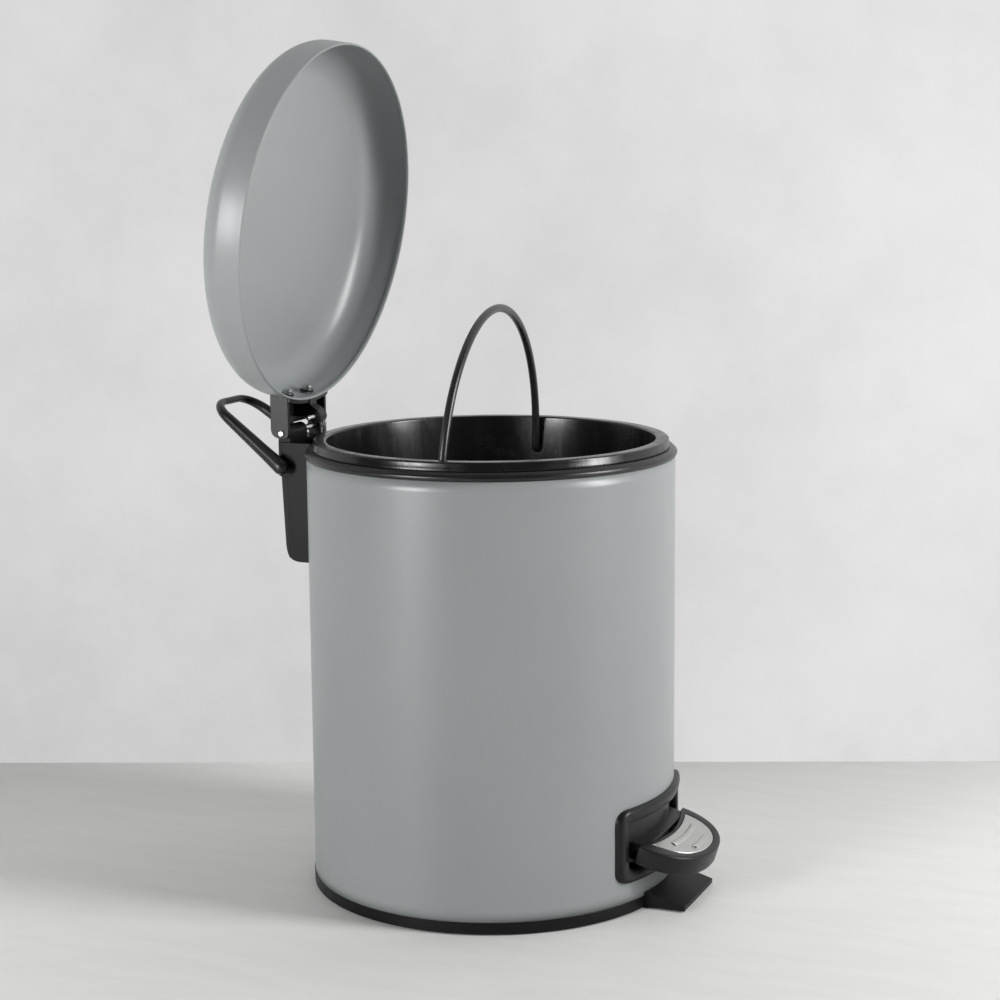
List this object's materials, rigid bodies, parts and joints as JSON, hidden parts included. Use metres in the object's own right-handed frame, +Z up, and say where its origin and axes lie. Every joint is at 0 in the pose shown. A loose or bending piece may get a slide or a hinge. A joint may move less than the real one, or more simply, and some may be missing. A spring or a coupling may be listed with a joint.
{
  "type": "litter disposal pail",
  "caption": "Small round pedal pail with a hinged domed lid held open, a loose inner bucket with a wire bail, a foot pedal and a rear carry handle.",
  "frame": {"origin": "on the floor, under the middle of the round body", "axes": "+Z up, -Y to the front where the pedal is, +Y to the hinge, +X to the right of someone who looks at the back from the front"},
  "size_m": [0.207, 0.2992, 0.4714],
  "materials": {
    "grey_paint": "satin grey powder coat",
    "black_plastic": "fine matt grain",
    "gloss_plastic": "smooth",
    "black_wire": "glossy coated wire",
    "black_steel": "satin black",
    "bright_steel": "bright drawn steel",
    "stainless": "brushed stainless sheet",
    "zinc_steel": "zinc plated",
    "rubber": "matt"
  },
  "bodies": {
    "body": {"base": "black_plastic", "foot_pads": "rubber", "shell": "grey_paint", "pedal_surround": "black_plastic", "top_ring": "black_plastic", "hinge_housing": "black_plastic", "housing_screws": "zinc_steel", "hinge_pin": "bright_steel", "rod_guide": "black_plastic", "pivot_pin": "bright_steel", "pivot_clips": "zinc_steel", "bucket": "gloss_plastic"},
    "bail": {"bucket_bail": "black_wire"},
    "lid": {"lid": "grey_paint", "lid_bracket": "black_steel", "lid_screws": "zinc_steel", "lid_washers": "black_steel"},
    "rod": {"push_rod": "bright_steel", "rod_clip": "black_steel"},
    "pedal": {"pedal": "black_plastic", "pedal_plate": "stainless", "pedal_lever": "zinc_steel", "pedal_screws": "zinc_steel"},
    "handle": {"carry_handle": "black_plastic"}
  },
  "joints": [
    {"name": "lid_hinge", "type": "hinge", "parent": "body", "child": "lid", "pos_m": [0, 0.1191, 0.2519], "axis": [1, 0, 0], "range_deg": [0, 81.4]},
    {"name": "rod_pivot", "type": "hinge", "parent": "lid", "child": "rod", "pos_m": [0, 0.1103, 0.2591], "axis": [1, 0, 0], "range_deg": [-81.4, 0]},
    {"name": "pedal_pivot", "type": "hinge", "parent": "body", "child": "pedal", "pos_m": [0, -0.028, 0.015], "axis": [1, 0, 0], "range_deg": [-7.14, 0]},
    {"name": "bail_pivot", "type": "hinge", "parent": "body", "child": "bail", "pos_m": [0, 0, 0.2336], "axis": [0.9954, 0.0958, 0], "range_deg": [0, 75]},
    {"name": "handle_pivot", "type": "hinge", "parent": "body", "child": "handle", "pos_m": [0, 0.1172, 0.2335], "axis": [-1, 0, 0], "range_deg": [0, 108]}
  ],
  "couplings": [
    {"joint": "rod_pivot", "follows": "lid_hinge", "ratio": -1},
    {"joint": "pedal_pivot", "follows": "lid_hinge", "ratio": -0.0877},
    {"joint": "bail_pivot", "follows": "lid_hinge", "ratio": 0.9213}
  ]
}
